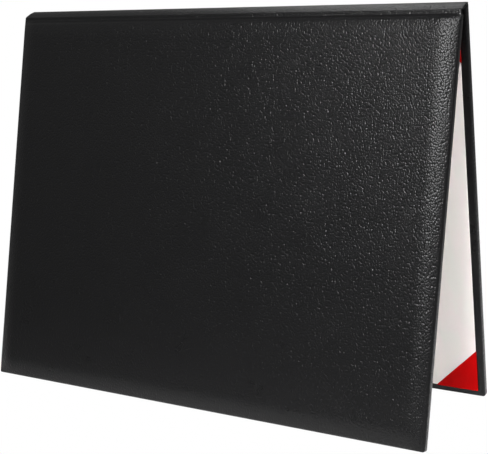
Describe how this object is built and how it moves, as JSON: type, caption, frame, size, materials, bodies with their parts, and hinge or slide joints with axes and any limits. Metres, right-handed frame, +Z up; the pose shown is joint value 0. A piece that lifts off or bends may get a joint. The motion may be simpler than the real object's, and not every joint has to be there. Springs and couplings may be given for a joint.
{
  "type": "diploma cover",
  "caption": "Padded black leatherette diploma cover, landscape, folding along its top edge, lined in white satin with red ribbon corners, standing open as a tent.",
  "frame": {"origin": "on the floor under the middle of the tent's bounding box", "axes": "+X along the cover's width and its fold, to the right seen from the front cover; +Y from the front cover towards the back cover; +Z up to the ridge"},
  "size_m": [0.2922, 0.0968, 0.2251],
  "materials": {
    "black_leatherette": "fine grained, satin",
    "foam": "matt, hidden",
    "greyboard": "matt, hidden",
    "white_satin": "soft satin sheen, faint moire",
    "red_ribbon": "satin ribbon"
  },
  "bodies": {
    "back_cover": {"back_cover_leatherette": "black_leatherette", "back_foam_pad": "foam", "back_board": "greyboard", "back_lining": "white_satin", "hinge_strip_back": "black_leatherette", "corner_ribbon_top_left": "red_ribbon", "corner_ribbon_top_right": "red_ribbon", "corner_ribbon_bottom_left": "red_ribbon", "corner_ribbon_bottom_right": "red_ribbon"},
    "spine": {"spine_leatherette": "black_leatherette", "hinge_strip_spine": "black_leatherette"},
    "front_cover": {"front_cover_leatherette": "black_leatherette", "front_foam_pad": "foam", "front_board": "greyboard", "front_lining": "white_satin", "hinge_strip_front": "black_leatherette"}
  },
  "joints": [
    {"name": "back_fold", "type": "hinge", "parent": "back_cover", "child": "spine", "pos_m": [0, 0.01379, 0.22518], "axis": [-1, 0, 0], "range_deg": [0, 102]},
    {"name": "front_fold", "type": "hinge", "parent": "spine", "child": "front_cover", "pos_m": [0, 0.00478, 0.22186], "axis": [-1, 0, 0], "range_deg": [-21.3, 56.6]}
  ]
}
